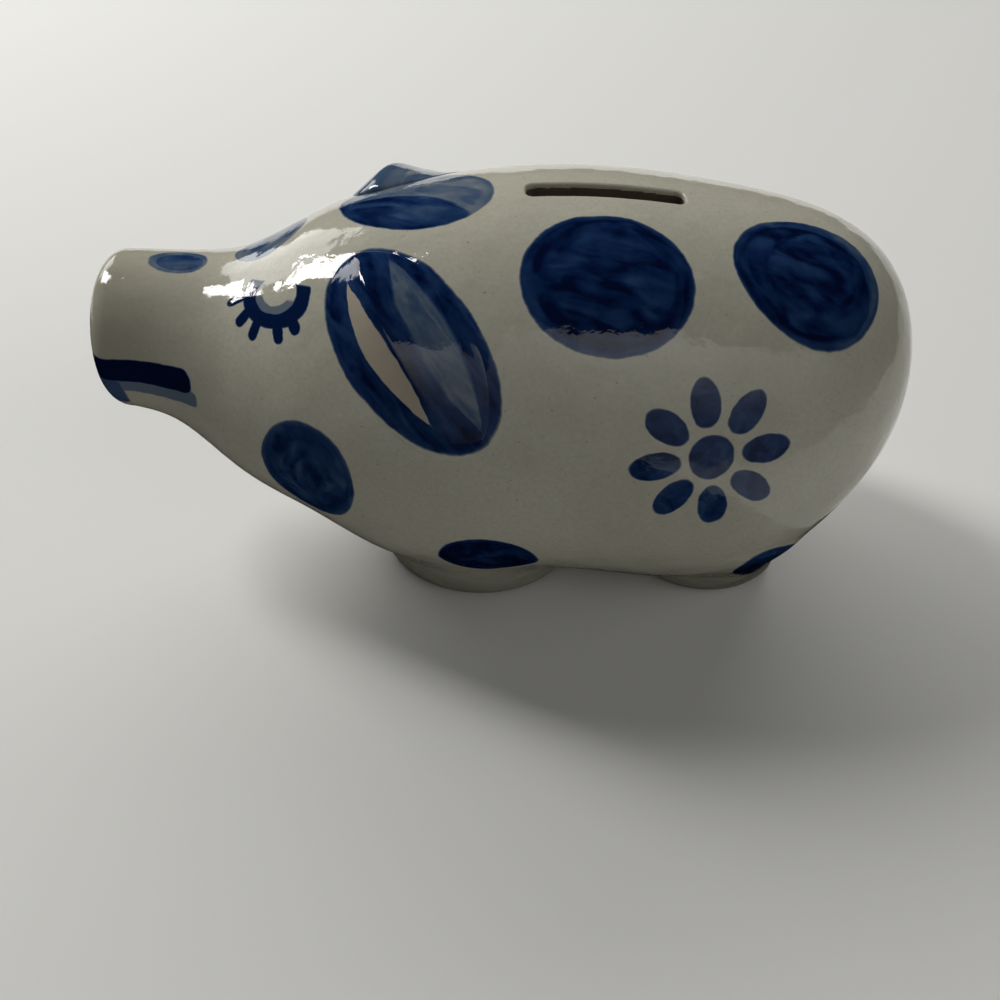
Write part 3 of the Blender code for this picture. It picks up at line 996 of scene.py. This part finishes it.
def stopper_piece(rubber):
    """The stopper: a profile turned about the belly hole's axis."""
    low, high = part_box("stopper")
    axis = Vector(((low.x + high.x) / 2, (low.y + high.y) / 2, SEAT_Z * MM))
    profile = rounded_profile(PLUG_PROFILE)
    shape = bmesh.new()
    rings = []
    for point in profile:
        ring = []
        for i in range(PLUG_SIDES):
            turn = 2 * math.pi * i / PLUG_SIDES
            spoke = Vector((math.cos(turn), math.sin(turn), 0)) * point.x
            ring.append(shape.verts.new(axis + (spoke + Vector((0, 0, point.y))) * MM))
        rings.append(ring)
    for near, far in zip(rings, rings[1:]):
        for i in range(PLUG_SIDES):
            j = (i + 1) % PLUG_SIDES
            shape.faces.new((near[i], near[j], far[j], far[i]))
    bmesh.ops.remove_doubles(shape, verts=shape.verts, dist=1e-7)
    bmesh.ops.recalc_face_normals(shape, faces=shape.faces)
    mesh = bpy.data.meshes.new("belly_stopper")
    shape.to_mesh(mesh)
    shape.free()
    mesh.shade_smooth()
    mesh.materials.append(rubber)
    piece = linked("belly_stopper", mesh)
    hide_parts("stopper")
    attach(piece, "stopper")


# Stage, in metres.
FLOOR_DROP = 0.0002
FLOOR_REACH = 3.0
NEAR_SIDE = 0.11
NEAR_BACK = 0.12
ROOM_LEFT = -0.24
ROOM_RIGHT = 2.2
ROOM_FRONT = -0.75
ROOM_TOP = 1.36
DAYLIGHT = (1.0, 0.99, 0.965)

# Soft boxes: name, azimuth, distance, width, bottom, top, radiance, and whether they show
# in the glaze.
SOFT_BOXES = [
    ("window", -62, 0.95, 0.26, 0.55, 1.61, 19.0, True),
    ("window_wall", -48, 0.97, 0.48, 0.19, 0.72, 3.0, True),
    ("right_wall", 126, 1.0, 1.50, 0.10, 1.40, 0.80, False),
    ("back_wall", -6, 1.3, 2.40, 0.0, 1.50, 2.2, False),
]


def floor_part(name, spans, material, mirrored):
    """Rectangles of floor, just under the feet; mirrored ones show in the glaze."""
    mesh = bpy.data.meshes.new(name)
    corners = []
    faces = []
    for left, right, front, back in spans:
        first = len(corners)
        corners += [(left, front, 0), (right, front, 0), (right, back, 0), (left, back, 0)]
        faces.append((first, first + 1, first + 2, first + 3))
    mesh.from_pydata(corners, [], faces)
    mesh.materials.append(material)
    plane = linked(name, mesh)
    plane.location.z = -FLOOR_DROP
    plane.visible_glossy = mirrored


def floor():
    """A pale floor; only the parts behind the pig and beyond its rump show in its glaze."""
    material = bpy.data.materials.new("pale_floor")
    tree = Tree(material)
    tree.shader.inputs["Base Color"].default_value = (0.66, 0.66, 0.645, 1.0)
    tree.shader.inputs["Roughness"].default_value = 0.9
    near = [(-FLOOR_REACH, NEAR_SIDE, -FLOOR_REACH, NEAR_BACK)]
    behind = (-FLOOR_REACH, FLOOR_REACH, NEAR_BACK, FLOOR_REACH)
    beside = (NEAR_SIDE, FLOOR_REACH, -FLOOR_REACH, NEAR_BACK)
    floor_part("floor_near", near, material, False)
    floor_part("floor_beyond", [behind, beside], material, True)


def wall_light(name, azimuth, distance, width, bottom, top, radiance, mirrored):
    """An upright soft box facing the pig; azimuths run from +Y towards +X."""
    turn = math.radians(azimuth)
    data = bpy.data.lights.new(name, "AREA")
    data.shape = "RECTANGLE"
    data.size = width
    data.size_y = top - bottom
    data.energy = math.pi * radiance * width * (top - bottom)
    data.color = DAYLIGHT
    light = linked(name, data)
    away = Vector((math.sin(turn), math.cos(turn), 0.0))
    light.location = away * distance + Vector((0, 0, (top + bottom) / 2))
    light.rotation_euler = away.to_track_quat("Z", "Y").to_euler()
    light.visible_camera = False
    light.visible_glossy = mirrored


def room_wall():
    """The room in front: a wall that is pale high up, and dim low down and at both ends."""
    mesh = bpy.data.meshes.new("room_wall")
    left_end = [(ROOM_LEFT, ROOM_FRONT, 0), (ROOM_LEFT, ROOM_FRONT, ROOM_TOP)]
    right_end = [(ROOM_RIGHT, ROOM_FRONT, ROOM_TOP), (ROOM_RIGHT, ROOM_FRONT, 0)]
    mesh.from_pydata(left_end + right_end, [], [(0, 1, 2, 3)])
    material = bpy.data.materials.new("lit_wall")
    tree = Tree(material)
    x, _, z = tree.split(tree.nodes.new("ShaderNodeTexCoord").outputs["Object"])
    rising = tree.step(z, 0.30, 1.05, 0.13, 0.90)
    fading = tree.step(x, 0.4, 2.0, 1.0, 0.0)
    glow = tree.math("MULTIPLY", rising, fading)
    glow = tree.math("MULTIPLY", glow, tree.step(x, ROOM_LEFT, 0.12, 0.35, 1.0))
    tree.shader.inputs["Base Color"].default_value = (0.0, 0.0, 0.0, 1.0)
    tree.shader.inputs["Roughness"].default_value = 1.0
    tree.shader.inputs["Emission Color"].default_value = (*DAYLIGHT, 1.0)
    tree.put(tree.shader.inputs["Emission Strength"], glow)
    mesh.materials.append(material)
    wall = linked("room_wall", mesh)
    wall.visible_camera = False


def lights():
    """The soft boxes, the glowing room wall, and a faint even light that is not mirrored."""
    for box in SOFT_BOXES:
        wall_light(*box)
    room_wall()
    world = bpy.data.worlds.new("studio")
    world.use_nodes = True
    back = world.node_tree.nodes["Background"]
    back.inputs["Color"].default_value = (0.90, 0.95, 1.0, 1.0)
    back.inputs["Strength"].default_value = 0.03
    bpy.context.scene.world = world
    world.cycles_visibility.glossy = False


# Camera: place in millimetres, angles in degrees, lens in millimetres.
CAMERA_PLACE = (-0.7, -212.8, 229.3)
CAMERA_PITCH = 46.17
CAMERA_YAW = -0.27
CAMERA_ROLL = 2.69
CAMERA_LENS = 36.3


def camera():
    data = bpy.data.cameras.new("camera")
    data.lens = CAMERA_LENS
    data.sensor_width = 36.0
    data.clip_start = 0.01
    view = linked("camera", data)
    turn = Matrix.Rotation(math.radians(CAMERA_YAW), 4, "Z")
    tip = Matrix.Rotation(math.radians(90 - CAMERA_PITCH), 4, "X")
    roll = Matrix.Rotation(math.radians(CAMERA_ROLL), 4, "Z")
    place = Matrix.Translation(Vector(CAMERA_PLACE) * MM)
    view.matrix_world = place @ turn @ tip @ roll
    bpy.context.scene.camera = view


camera()
lights()
floor()
painted = glaze_material()
body_piece(painted, clay_and_shade_material())
ear_piece("clay_ear_left", "ear_left", -1, painted)
ear_piece("clay_ear_right", "ear_right", 1, painted)
stopper_piece(rubber_material())
bpy.context.scene.view_settings.view_transform = "Standard"
